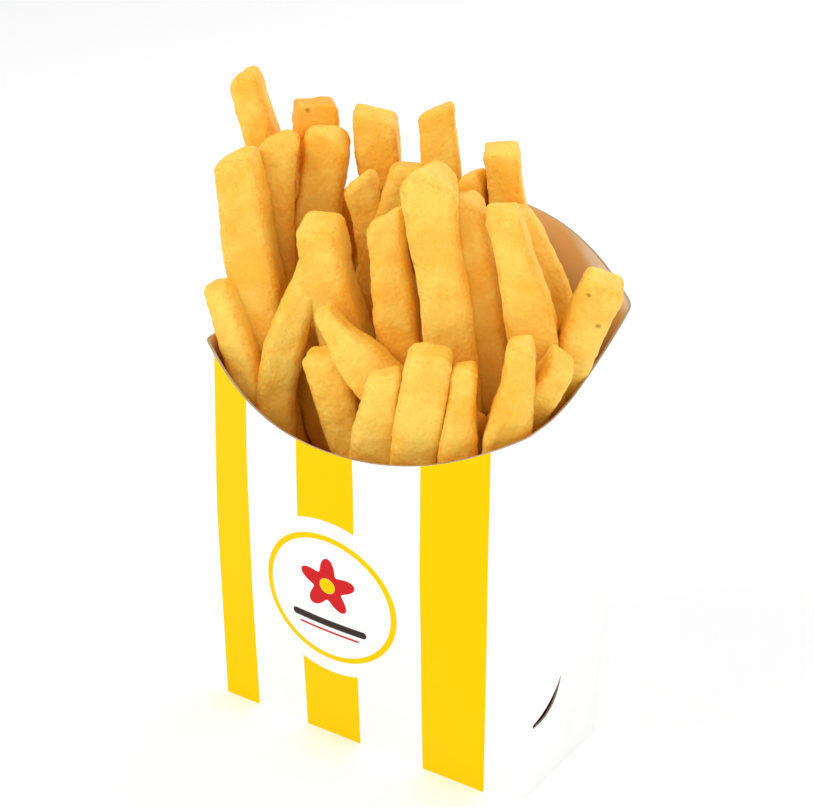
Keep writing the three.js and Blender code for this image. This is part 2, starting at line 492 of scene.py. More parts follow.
@dataclass(frozen=True)
class GreaseAndShadeFinish(BoardFinish):
    """The inside of the board, tinted warm below its rim partly by grease stain and partly by painted bounce
    light and painted shade from the fries, and white in a band below its rim.
    """

    # Both tints are partly grease stain and partly painted bounce light from the fries; the deep one is also
    # painted shade deep in the carton.
    grease_and_bounce_tint: Colour = (0.92, 0.63, 0.30)
    deep_grease_and_shade: Colour = (0.80, 0.42, 0.11)
    rim: Arch | None = None
    band: tuple[float, float] = (-4.0, 1.5)
    band_from: tuple[float, float] = (20.0, 34.0)
    fade: float = 6.0
    wander: float = 3.0
    deep_below: tuple[float, float] = (10.0, 34.0)

    def material(self) -> Material:
        """Builds the material.

        Returns:
            The material.
        """
        material, graph, shader, colour = self.begin()
        place = graph.vector("SCALE", graph.node("ShaderNodeTexCoord").outputs["Object"], 1 / MM)
        across, _, height = graph.separate(place)
        side = graph.math("ABSOLUTE", across)
        share = graph.math("MULTIPLY", side, 1 / self.rim.half_width, clamp=True)
        fall = graph.math("MULTIPLY", graph.math("POWER", share, self.rim.power), -self.rim.rise)
        top = graph.math("ADD", fall, self.rim.corner + self.rim.rise)
        below = graph.math("SUBTRACT", top, height)
        wander = graph.noise(graph.vector("SCALE", place, MM), 15.0)
        below = graph.math("MULTIPLY_ADD", graph.math("SUBTRACT", wander, 0.5), self.wander, below)
        band = graph.remap(across, *self.band_from, *self.band)
        past = graph.math("SUBTRACT", below, band)
        # A warm tint further below the rim and a darker orange deep down: grease stain together with painted
        # bounce light and painted shade.
        colour = graph.mix(graph.remap(past, 0.0, self.fade), colour, rgba(self.grease_and_bounce_tint))
        colour = graph.mix(graph.remap(past, *self.deep_below), colour, rgba(self.deep_grease_and_shade))
        graph.feed(shader.inputs["Base Color"], colour)
        return material


@dataclass(frozen=True)
class Stripe:
    """A printed stripe: how far across its two sides stand at the base and at 100 mm, and how they bow."""

    left: tuple[float, float]
    right: tuple[float, float]
    left_bow: float = 0.0
    right_bow: float = 0.0


@dataclass(frozen=True)
class Emblem:
    """The plain printed emblem: a ring on a white disc, a five-petalled flower and two short bars."""

    across: float = -5.5
    height: float = 48.5
    lean: float = 0.09
    disc: float = 25.0
    ring: float = 19.6
    ring_width: float = 1.7
    petal_reach: float = 8.8
    petal_depth: float = 0.24
    petals: int = 5
    flower_rise: float = 4.6
    eye: float = 2.4
    bar_half: tuple[float, float] = (10.5, 9.0)
    bar_thick: tuple[float, float] = (1.15, 0.35)
    bar_drop: tuple[float, float] = (8.0, 10.8)


@dataclass(frozen=True)
class PrintedFinish(BoardFinish):
    """The front of the board, with its stripes and emblem."""

    ink_yellow: Colour = (0.98, 0.59, 0.0)
    ink_red: Colour = (0.60, 0.018, 0.020)
    ink_dark: Colour = (0.045, 0.032, 0.028)
    stripe_reach: float = 100.0
    softness: float = 0.14
    emblem: Emblem = Emblem()
    stripes: tuple[Stripe, ...] = (
        Stripe((-50.5, -43.6), (-35.1, -29.1), right_bow=-0.4),
        Stripe((-19.1, -11.0), (-2.0, 5.9), left_bow=0.3, right_bow=1.1),
        Stripe((17.6, 23.5), (36.3, 39.5), left_bow=0.9, right_bow=0.5),
    )

    def material(self) -> Material:
        """Builds the material.

        Returns:
            The material.
        """
        material, graph, shader, colour = self.begin()
        place = graph.vector("SCALE", graph.node("ShaderNodeTexCoord").outputs["Object"], 1 / MM)
        across, _, height = graph.separate(place)
        yellow = self.stripe_mask(graph, across, height)
        yellow, red, dark = self.emblem_masks(graph, across, height, yellow)
        for mask, ink in ((yellow, self.ink_yellow), (red, self.ink_red), (dark, self.ink_dark)):
            colour = graph.mix(mask, colour, rgba(ink))
        graph.feed(shader.inputs["Base Color"], colour)
        return material

    def inside(self, graph: Graph, depth: Feed) -> Socket:
        """A mask that is 1 where a depth in millimetres is over 0, with a narrow soft border."""
        return graph.math("MULTIPLY_ADD", depth, 1 / self.softness, 0.5, clamp=True)

    def stripe_mask(self, graph: Graph, across: Feed, height: Feed) -> Socket:
        """Where the stripes are.

        Args:
            graph: the material's graph.
            across: the distance across the panel.
            height: the height above the base.

        Returns:
            The mask.
        """
        up = graph.math("MULTIPLY", height, 1 / self.stripe_reach)
        middle = graph.math("MULTIPLY", graph.math("MULTIPLY", up, graph.math("SUBTRACT", 1.0, up)), 4.0)
        total: Feed = 0.0
        for stripe in self.stripes:
            left = self.side(graph, up, middle, stripe.left, stripe.left_bow)
            right = self.side(graph, up, middle, stripe.right, stripe.right_bow)
            after = self.inside(graph, graph.math("SUBTRACT", across, left))
            before = self.inside(graph, graph.math("SUBTRACT", right, across))
            total = graph.math("MULTIPLY_ADD", after, before, total)
        return total

    @staticmethod
    def side(graph: Graph, up: Feed, middle: Feed, ends: tuple[float, float], bow: float) -> Socket:
        """How far across a stripe's side stands at each height."""
        line = graph.math("MULTIPLY_ADD", up, ends[1] - ends[0], ends[0])
        return graph.math("MULTIPLY_ADD", middle, bow, line)

    def emblem_masks(
        self, graph: Graph, across: Feed, height: Feed, yellow: Feed
    ) -> tuple[Socket, Socket, Socket]:
        """Where each ink of the emblem is, with the stripes cut away round it.

        Args:
            graph: the material's graph.
            across: the distance across the panel.
            height: the height above the base.
            yellow: the stripes' mask.

        Returns:
            The masks of yellow, red and dark ink.
        """
        mark = self.emblem
        z = graph.math("SUBTRACT", height, mark.height)
        x = graph.math("MULTIPLY_ADD", z, -mark.lean, graph.math("SUBTRACT", across, mark.across))
        far = graph.vector("LENGTH", graph.combine(x, z, 0.0))
        disc = self.inside(graph, graph.math("SUBTRACT", mark.disc, far))
        ring_off = graph.math("ABSOLUTE", graph.math("SUBTRACT", far, mark.ring))
        ring = self.inside(graph, graph.math("SUBTRACT", mark.ring_width / 2, ring_off))
        yellow = graph.math("MULTIPLY", yellow, graph.math("SUBTRACT", 1.0, disc))
        rise = graph.math("SUBTRACT", z, mark.flower_rise)
        reach = graph.vector("LENGTH", graph.combine(x, rise, 0.0))
        angle = graph.math("MULTIPLY", graph.math("ARCTAN2", x, rise), float(mark.petals))
        wave = graph.math("MULTIPLY_ADD", graph.math("COSINE", angle), mark.petal_depth, 1 - mark.petal_depth)
        petal = graph.math("MULTIPLY", wave, mark.petal_reach)
        flower = self.inside(graph, graph.math("SUBTRACT", petal, reach))
        eye = self.inside(graph, graph.math("SUBTRACT", mark.eye, reach))
        red = graph.math("MULTIPLY", flower, graph.math("SUBTRACT", 1.0, eye))
        dark_bar, red_bar = (
            self.bar(graph, x, z, half, thick, drop)
            for half, thick, drop in zip(mark.bar_half, mark.bar_thick, mark.bar_drop)
        )
        yellow = graph.math("ADD", yellow, graph.math("ADD", ring, eye), clamp=True)
        return yellow, graph.math("ADD", red, red_bar, clamp=True), dark_bar

    def bar(self, graph: Graph, x: Feed, z: Feed, half: float, thick: float, drop: float) -> Socket:
        """The mask of a level bar with round ends, below the emblem's middle."""
        beyond = graph.math("MAXIMUM", graph.math("SUBTRACT", graph.math("ABSOLUTE", x), half), 0.0)
        off = graph.vector("LENGTH", graph.combine(beyond, graph.math("ADD", z, drop), 0.0))
        return self.inside(graph, graph.math("SUBTRACT", thick, off))


# --------------------------------------------------------------------------------------------------- pieces


def put(name: str, mesh: Mesh, materials: Sequence[Material]) -> Piece:
    """Makes a mesh a piece of the object, which rides on its one body.

    Args:
        name: the piece's name.
        mesh: its mesh, in place.
        materials: its materials, in the order of its faces' numbers.

    Returns:
        The piece.
    """
    piece = bpy.data.objects.new(name, mesh)
    if len(mesh.materials) == 0:
        for material in materials:
            mesh.materials.append(material)
    bpy.context.scene.collection.objects.link(piece)
    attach(piece, BODY)
    log.info("%s: %d faces", name, len(mesh.polygons))
    return piece


def mesh_of(
    name: str, points: np.ndarray, faces: Sequence[Sequence[int]], numbers: Sequence[int] | None = None
) -> Mesh:
    """A mesh from points in millimetres.

    Args:
        name: the mesh's name.
        points: one row for each point.
        faces: the points' numbers round each face.
        numbers: each face's material number.

    Returns:
        The mesh, in metres.
    """
    mesh = bpy.data.meshes.new(name)
    mesh.from_pydata((np.asarray(points) * MM).tolist(), [], [list(face) for face in faces])
    if numbers is not None:
        mesh.polygons.foreach_set("material_index", np.asarray(numbers, dtype=np.int32))
    mesh.update()
    return mesh


def shade(mesh: Mesh, angle: float = 38.0) -> None:
    """Shades a mesh smooth, but for edges sharper than the angle."""
    mesh.shade_smooth()
    mesh.set_sharp_from_angle(angle=math.radians(angle))


def baked(piece: Piece, name: str) -> Mesh:
    """A plain mesh of an object with its modifiers; the object is then removed.

    Args:
        piece: the object.
        name: the new mesh's name.

    Returns:
        The mesh.
    """
    depsgraph = bpy.context.evaluated_depsgraph_get()
    mesh = bpy.data.meshes.new_from_object(
        piece.evaluated_get(depsgraph), preserve_all_data_layers=True, depsgraph=depsgraph
    )
    mesh.name = name
    piece.modifiers.clear()
    bpy.data.objects.remove(piece)
    return mesh


@dataclass
class Panel:
    """One panel of the wall: where its points lie and how high its rim is, from -1 to 1 across it."""

    columns: int
    at: Callable[[float, float, float], tuple[float, float]]
    rim: Callable[[float], float]
    face: int


@dataclass
class Column:
    """One upright line of points on the wall."""

    at: Callable[[float, float], tuple[float, float]]
    rim: float
    face: int


class BoardFace(Enum):
    """The faces of the board, by the number of their material."""

    PRINTED = 0
    PLAIN = 1
    INSIDE = 2
    CUT = 3


@dataclass
class Carton:
    """The folded carton: its wall and floor, the curved tab slots, the glued seam and the base flaps."""

    fibre: FibreGroup
    board: float = 0.5
    base_half: tuple[float, float] = (46.5, 20.5)
    rim_half: tuple[float, float] = (47.5, 24.0)
    front_corner: float = 108.0
    back_corner: float = 124.0
    front_bulge: float = 13.0
    back_bulge: float = 12.0
    scoop_drop: float = 13.4
    scoop_power: float = 2.3
    sweep_power: float = 2.4
    arch_rise: float = 14.0
    arch_power: float = 2.4
    corner_radius: float = 1.3
    corner_steps: int = 6
    rows: int = 84
    wide_columns: int = 72
    side_columns: int = 36
    warp: float = 0.3
    floor_height: float = 1.1
    flap_gap: float = 0.05
    flap_board: float = 0.45
    flap_corner: float = 3.0
    flap_side_room: float = 0.6
    flap_end_room: float = 0.3
    flap_reach: tuple[float, float] = (0.42, 0.5)
    materials: list[Material] = field(default_factory=list)

    def half(self, axis: int, z: float) -> float:
        """Half the carton's width (axis 0) or depth (axis 1) at a height."""
        return self.base_half[axis] + (self.rim_half[axis] - self.base_half[axis]) * z / self.front_corner

    def swell(self, z: float) -> float:
        """How far the bulge of the front and the back has grown at a height, from 0 to 1."""
        return math.sin(min(z / self.front_corner, 1.0) * math.pi / 2)

    @staticmethod
    def dome(a: float, power: float) -> float:
        """A rise that is 1 in the middle of a panel and 0 at its two sides."""
        return 1 - abs(a) ** power

    def side_rim(self, to_back: float) -> float:
        """The height of a side panel's rim, from -1 at the front to 1 at the back."""
        rise = self.back_corner - self.front_corner
        return self.front_corner + rise * ((to_back + 1) / 2) ** self.sweep_power

    def buckle(self, a: float, z: float, phase: float) -> float:
        """The slight waviness of a panel, which fades out at its folds."""
        broad = math.sin(z / 19 + phase) * math.cos(2.6 * a + phase)
        wave = broad + 0.5 * math.sin(z / 7.5 - 3 * a + 2 * phase)
        return self.warp * self.dome(a, 2) * wave * min(z / 30, 1.0)

    def room(self, x: float, y: float, z: float) -> float:
        """How far a place is from the nearest panel, in millimetres; it is under 0 outside.

        Args:
            x: how far across it is.
            y: how far back it is.
            z: its height.

        Returns:
            The distance.
        """
        share = min(abs(x) / self.half(0, z), 1.0)
        bulge = self.front_bulge if y < 0 else self.back_bulge
        deep = self.half(1, z) + bulge * self.swell(z) * self.dome(share, 2) - abs(y)
        return min(deep, self.half(0, z) - abs(x)) - self.board

    def panels(self) -> list[Panel]:
        """The four panels in order round the carton: front, right, back and left."""

        def front(a: float, z: float, inset: float) -> tuple[float, float]:
            """A point of the front panel."""
            out = self.half(1, z) - inset + self.front_bulge * self.swell(z) * self.dome(a, 2)
            return a * (self.half(0, z) - inset), -out - self.buckle(a, z, 0.4)

        def right(a: float, z: float, inset: float) -> tuple[float, float]:
            """A point of the right panel."""
            return self.half(0, z) - inset + self.buckle(a, z, 1.9), a * (self.half(1, z) - inset)

        def back(a: float, z: float, inset: float) -> tuple[float, float]:
            """A point of the back panel."""
            out = self.half(1, z) - inset + self.back_bulge * self.swell(z) * self.dome(a, 2)
            return -a * (self.half(0, z) - inset), out + self.buckle(a, z, 3.1)

        def left(a: float, z: float, inset: float) -> tuple[float, float]:
            """A point of the left panel."""
            return -(self.half(0, z) - inset + self.buckle(a, z, 4.4)), -a * (self.half(1, z) - inset)

        return [
            Panel(
                self.wide_columns,
                front,
                lambda a: self.front_corner - self.scoop_drop * self.dome(a, self.scoop_power),
                BoardFace.PRINTED.value,
            ),
            Panel(self.side_columns, right, self.side_rim, BoardFace.PLAIN.value),
            Panel(
                self.wide_columns,
                back,
                lambda a: self.back_corner + self.arch_rise * self.dome(a, self.arch_power),
                BoardFace.PLAIN.value,
            ),
            Panel(self.side_columns, left, lambda a: self.side_rim(-a), BoardFace.PLAIN.value),
        ]

    def columns(self) -> list[Column]:
        """All upright lines of the wall in order, with a rounded fold at each corner."""
        panels = self.panels()
        columns: list[Column] = []
        for number, panel in enumerate(panels):
            after = panels[(number + 1) % len(panels)]
            trim = self.corner_radius / self.half(number % 2, 60.0)
            trim_after = self.corner_radius / self.half((number + 1) % 2, 60.0)
            for step in range(panel.columns + 1):
                a = (1 - trim) * (2 * step / panel.columns - 1)
                columns.append(
                    Column(lambda z, inset, p=panel, a=a: p.at(a, z, inset), panel.rim(a), panel.face)
                )
            for step in range(1, self.corner_steps):
                columns.append(self.fold(panel, after, trim, trim_after, step / self.corner_steps))
        return columns

    @staticmethod
    def fold(panel: Panel, after: Panel, trim: float, trim_after: float, share: float) -> Column:
        """An upright line on the rounded fold between two panels.

        Args:
            panel: the panel before the fold.
            after: the panel after it.
            trim: where the fold starts on the first panel, from its side.
            trim_after: where it ends on the second.
            share: how far round the fold the line is.

        Returns:
            The column.
        """
        weights = ((1 - share) ** 2, 2 * share * (1 - share), share**2)

        def at(z: float, inset: float) -> tuple[float, float]:
            """A point of the fold."""
            ends = (panel.at(1 - trim, z, inset), panel.at(1.0, z, inset), after.at(trim_after - 1, z, inset))
            return (
                sum(w * end[0] for w, end in zip(weights, ends)),
                sum(w * end[1] for w, end in zip(weights, ends)),
            )

        heights = (panel.rim(1 - trim), panel.rim(1.0), after.rim(trim_after - 1))
        rim = sum(w * height for w, height in zip(weights, heights))
        return Column(at, rim, min(panel.face, after.face))

    def wall(self) -> Mesh:
        """The wall and the recessed floor as one closed sheet of board.

        Returns:
            The mesh, with its faces numbered by board face.
        """
        columns = self.columns()
        count = len(columns)
        shares = [step / self.rows for step in range(self.rows + 1)]
        outer = [[(c, c.rim * s, 0.0) for c in columns] for s in shares]
        top = self.floor_height + self.board
        inner = [[(c, top + (c.rim - top) * s, self.board) for c in columns] for s in reversed(shares)]
        skirt = [[(c, z, self.board) for c in columns] for z in (self.floor_height, 0.0)]
        rings = [skirt[0], skirt[1], *outer, *inner]
        points = [(*c.at(z, inset), z) for ring in rings for c, z, inset in ring]
        faces: list[list[int]] = []
        numbers: list[int] = []
        for r in range(len(rings) - 1):
            for i in range(count):
                j = (i + 1) % count
                faces.append([r * count + i, r * count + j, (r + 1) * count + j, (r + 1) * count + i])
                numbers.append(self.face_number(r, columns[i]))
        points += [(0.0, 0.0, self.floor_height), (0.0, 0.0, top)]
        last = (len(rings) - 1) * count
        for i in range(count):
            j = (i + 1) % count
            faces += [[len(points) - 2, j, i], [len(points) - 1, last + i, last + j]]
            numbers += [BoardFace.PLAIN.value, BoardFace.INSIDE.value]
        return mesh_of("carton_wall", np.array(points), faces, numbers)

    def face_number(self, ring: int, column: Column) -> int:
        """Which face of the board lies between a ring of points and the next."""
        if ring in (1, self.rows + 2):
            return BoardFace.CUT.value
        if ring < 1 or ring > self.rows + 2:
            return BoardFace.INSIDE.value
        return column.face

    def slot_cutter(self) -> Piece:
        """A curved bar right across the carton, in the shape of the tab slots."""
        low, high = Vector((-14.6, 20.3)), Vector((-1.5, 29.9))
        steps = 16
        pulls = (Vector((-2.9, 19.2)), Vector((-5.7, 22.6)))
        starts = (low, low + Vector((-0.3, 1.1)))
        outline = []
        for number, (start, pull) in enumerate(zip(starts, pulls)):
            curve = [
                (1 - t) ** 2 * start + 2 * t * (1 - t) * pull + t**2 * high
                for t in (step / steps for step in range(steps + 1))
            ]
            outline += curve if number == 0 else list(reversed(curve[:-1]))
        reach = self.rim_half[0] + 8
        count = len(outline)
        points = [(x, y, z) for x in (-reach, reach) for y, z in outline]
        faces = [list(reversed(range(count))), list(range(count, 2 * count))]
        faces += [[i, (i + 1) % count, count + (i + 1) % count, count + i] for i in range(count)]
        mesh = mesh_of("slot_cutter", np.array(points), faces, [BoardFace.CUT.value] * len(faces))
        for material in self.materials:
            mesh.materials.append(material)
        cutter = bpy.data.objects.new("slot_cutter", mesh)
        bpy.context.scene.collection.objects.link(cutter)
        return cutter

    def dress(self) -> None:
        """Makes the finishes of the board's faces."""
        white = (0.92, 0.92, 0.915)
        off_white = (0.90, 0.90, 0.895)
        fibre_pale = (0.50, 0.38, 0.27)
        fibre_dark = (0.40, 0.29, 0.19)
        self.materials = [
            PrintedFinish(self.fibre, "printed_front", white, off_white, 0.6, 0.006).material(),
            BoardFinish(self.fibre, "coated_board", white, off_white, 0.6, 0.006).material(),
            self.inside_finish().material(),
            BoardFinish(self.fibre, "cut_edge", fibre_pale, fibre_dark, 0.75, 0.05, 0.2).material(),
        ]

    def inside_finish(self) -> GreaseAndShadeFinish:
        """The finish of the board's inside."""
        arch = Arch(self.back_corner, self.arch_rise, self.arch_power, self.rim_half[0])
        bare = (0.97, 0.93, 0.89)
        mottled = (0.97, 0.91, 0.86)
        return GreaseAndShadeFinish(self.fibre, "inner_board", bare, mottled, 0.62, 0.03, rim=arch)

    def build(self) -> None:
        """Makes the carton's pieces."""
        self.dress()
        wall = self.wall()
        for material in self.materials:
            wall.materials.append(material)
        blank = bpy.data.objects.new("blank", wall)
        bpy.context.scene.collection.objects.link(blank)
        cutter = self.slot_cutter()
        cut = blank.modifiers.new("slots", "BOOLEAN")
        cut.operation = "DIFFERENCE"
        cut.solver = "EXACT"
        cut.object = cutter
        mesh = baked(blank, "carton_wall")
        bpy.data.objects.remove(cutter)
        shade(mesh)
        piece = put("carton_board", mesh, self.materials)
        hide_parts("carton")
        self.build_seam()
        self.build_base()

    def build_seam(self) -> None:
        """The glue flap: the left panel's end, stuck to the inside of the back panel."""
        back = self.panels()[2]
        width = 11.0
        steps = 10
        gap = 0.02
        rows = 40
        bottom = self.floor_height + self.board + 4
        points: list[Triple] = []
        for inset in (self.board + gap, 2 * self.board + gap):
            for row in range(rows + 1):
                for step in range(steps + 1):
                    a = 0.985 - (width / self.rim_half[0]) * step / steps
                    top = back.rim(a) - 3 - 2.5 * smooth(step / steps)
                    z = bottom + (top - bottom) * row / rows
                    points.append((*back.at(a, z, inset), z))
        faces = slab_faces(rows + 1, steps + 1)
        mesh = mesh_of("glue_flap", np.array(points), faces)
        recalculate(mesh)
        shade(mesh)
        put("glue_flap", mesh, [self.materials[BoardFace.INSIDE.value]])

    def build_base(self) -> None:
        """The two base flaps, the front one lapped under the back one."""
        gap = self.flap_gap
        width = self.base_half[0] - self.board - self.flap_side_room
        depth = self.base_half[1] - self.board - self.flap_end_room
        flaps = (
            ("base_flap_outer", -depth, self.flap_reach[0] * depth, gap),
            ("base_flap_inner", -self.flap_reach[1] * depth, depth, self.board + gap),
        )
        for name, front, back, low in flaps:
            outline = rounded_rectangle(-width, width, front, back, self.flap_corner)
            count = len(outline)
            points = [(x, y, z) for z in (low, low + self.flap_board) for x, y in outline]
            faces = [list(reversed(range(count))), list(range(count, 2 * count))]
            faces += [[i, (i + 1) % count, count + (i + 1) % count, count + i] for i in range(count)]
            numbers = [0, 0] + [1] * count
            mesh = mesh_of(name, np.array(points), faces, numbers)
            shade(mesh)
            plain, cut = BoardFace.PLAIN.value, BoardFace.CUT.value
            put(name, mesh, [self.materials[plain], self.materials[cut]])


def slab_faces(rows: int, columns: int) -> list[list[int]]:
    """The faces of a closed thin slab between two equal grids of points, the second after the first.

    Args:
        rows: the grids' rows.
        columns: the points in each row.

    Returns:
        The faces.
    """
    layer = rows * columns

    def at(side: int, row: int, column: int) -> int:
        """The number of a point."""
        return side * layer + row * columns + column

    faces = []
    for row in range(rows - 1):
        for column in range(columns - 1):
            for side in (0, 1):
                quad = [
                    at(side, row, column),
                    at(side, row, column + 1),
                    at(side, row + 1, column + 1),
                    at(side, row + 1, column),
                ]
                faces.append(quad if side else quad[::-1])
    for row in range(rows - 1):
        for column in (0, columns - 1):
            low, high = row, row + 1
            faces.append([at(0, low, column), at(0, high, column), at(1, high, column), at(1, low, column)])
    for column in range(columns - 1):
        for row in (0, rows - 1):
            near, far = column, column + 1
            faces.append([at(0, row, near), at(0, row, far), at(1, row, far), at(1, row, near)])
    return faces


def recalculate(mesh: Mesh) -> None:
    """Turns a closed mesh's faces outwards."""
    work = bmesh.new()
    work.from_mesh(mesh)
    bmesh.ops.recalc_face_normals(work, faces=work.faces[:])
    work.to_mesh(mesh)
    work.free()


def rounded_rectangle(
    left: float, right: float, front: float, back: float, radius: float
) -> list[tuple[float, float]]:
    """An outline with round corners, anticlockwise from its right front corner.

    Args:
        left: its left side.
        right: its right side.
        front: its front side.
        back: its back side.
        radius: the corners' radius.

    Returns:
        The outline's points.
    """
    steps = 6
    outline = []
    corners = ((right, front, -90), (right, back, 0), (left, back, 90), (left, front, 180))
    for x, y, start in corners:
        middle_x = x - math.copysign(radius, x)
        middle_y = y + (radius if y == front else -radius)
        for step in range(steps + 1):
            angle = math.radians(start + 90 * step / steps)
            outline.append((middle_x + radius * math.cos(angle), middle_y + radius * math.sin(angle)))
    return outline


@dataclass(frozen=True)
class Fry:
    """One cut stick of potato, from its foot to its head.

    bow bends it sideways, turn is how far it is turned about its own length, slant slopes its cut head, taper
    narrows its head, tone says how well done it is, from 0, pale, to 1, dark, peak points its head, and crisp
    sharpens its edges, from 0 to 1.
    """

    head: Triple
    foot: Triple
    across: float
    deep: float
    bow: float = 0.0
    turn: float = 0.0
    slant: float = 0.0
    taper: float = 0.1
    tone: float = 0.5
    peak: float = 0.0
    crisp: float = 0.0


FRIES: dict[Row, tuple[Fry, ...]] = {
    Row.BACK: (
        Fry((-58.5, 8, 167.5), (-26.5, 15, 84.5), 10, 9, -2, 28, 0.3, 0.1, 0.35, 0.3),
        Fry((-40, 14, 161.5), (-36.5, 11, 75.5), 11, 10, 0, 44, 0, 0, 0.85, 0, 0.45),
        Fry((-32.5, 9, 157.5), (-38.5, 6, 72.5), 12, 10, -2, 28, -0.2, 0, 0.45, 0.3),
        Fry((-25, 18, 160.5), (-17.5, 18, 73), 11.4, 9.5, 1, 30, -0.3, 0, 0.45, 0, 0.35),
        Fry((-6, 18, 166), (1.5, 18, 75.5), 10.2, 9, 1, 33, 0.4, 0.05, 0.35, 0, 0.3),
        Fry((14, 16, 160.5), (19.5, 21, 74.5), 13, 10, -1, 30, 0, 0.3, 0.4, 0, 0.45),
        Fry((7.5, 13, 153.5), (13.5, 20, 75.5), 9, 9, 0, 10, 0.4, 0.3, 0.6),
        Fry((22, 8, 148.5), (39, 19, 98.5), 10, 9, 1, 33, 0, 0.1, 0.4),
        Fry((-33.5, 24, 137), (-29.5, 21, 71), 10, 10, 0, 5, 0, 0, 0.6),
        Fry((-13.5, 27, 140), (-11.5, 23, 71), 10, 9, 0, 20, 0.3, 0, 0.5),
        Fry((2.5, 27, 137), (4.5, 24, 71), 9.5, 10, 0, 50, 0, 0.1, 0.7),
        Fry((15.5, 26, 133), (14.5, 23, 71), 10, 10, 0, 10, -0.3, 0, 0.5),
    ),
    Row.MIDDLE: (
        Fry((-44, -14, 156), (-31.5, -8, 66.5), 13.2, 11, -1.8, 25, 0.2, 0.12, 0.4, 0.2),
        Fry((-40.5, -2, 157.7), (-41, 0, 112), 10.6, 10, -2, 30, 0.1, 0, 0.35, 0.4),
        Fry((-18.5, 2, 150), (-8.5, 12, 75.5), 10, 9, 0, 30, 0.7, 0.15, 0.5),
        Fry((-7.5, 8, 153.5), (-25.5, 0, 84), 10.5, 9, 0, 30, 0.2, 0.1, 0.5),
        Fry((-19.5, -14, 144), (-5.5, -3, 72.5), 12.2, 11.5, -2, 18, -0.2, 0.1, 0.35),
        Fry((-2.5, -10, 148), (8.5, -6, 66.5), 11, 9.5, -1.5, 30, 0.55, 0.1, 0.45),
        Fry((9, -10, 163), (20.5, -7, 67.5), 12.8, 11, 1.2, 33, 0, -0.08, 0.3, 0.8),
        Fry((15, -4, 155), (28.5, 3, 68.5), 10.5, 9, 1, 30, -0.25, 0.1, 0.4, 0.3),
        Fry((29, -8, 156), (39, 5, 75.5), 12, 10, 2.5, 30, -0.1, 0.25, 0.4),
        Fry((50.5, 4, 139.5), (26, 5, 80.5), 10.6, 10, 1, 30, 0, 0.05, 0.2),
        Fry((-13.2, -22, 124.4), (9.5, -17.5, 102.5), 13.6, 9, -1, 30, -0.2, 0.6, 0.35),
    ),
    Row.FRONT: (
        Fry((-46, -19, 122.5), (-27, -17, 55.5), 9.2, 8.5, 1, 10, 0, 0.1, 0.25),
        Fry((-18.5, -14, 137.5), (-27, -20, 58), 10.4, 9.5, -6.5, 30, 0.2, 0.3, 0.3),
        Fry((-13, -22, 113.5), (4.5, -16, 56), 10.5, 9, 0, 26, -0.1, 0, 0.3),
        Fry((9, -27, 116), (-3.5, -24, 62), 12, 9, 1, 30, 0.5, 0.25, 0.0),
        Fry((20.2, -25, 123.5), (11, -23, 61), 11.8, 10, 0.5, 30, 0, 0.05, 0.2),
        Fry((27.8, -22, 120.5), (26.8, -23, 62), 10.2, 9, 0, 30, 0.2, 0.35, 0.45),
        Fry((40.5, -18, 129.5), (33, -19, 64), 12.2, 9.5, 0.5, 30, 0, 0.4, 0.35, 0.3),
        Fry((47.5, -9, 122.5), (16, -10, 64), 12.6, 9, 0, 33, -0.3, 0.35, 0.25),
    ),
}


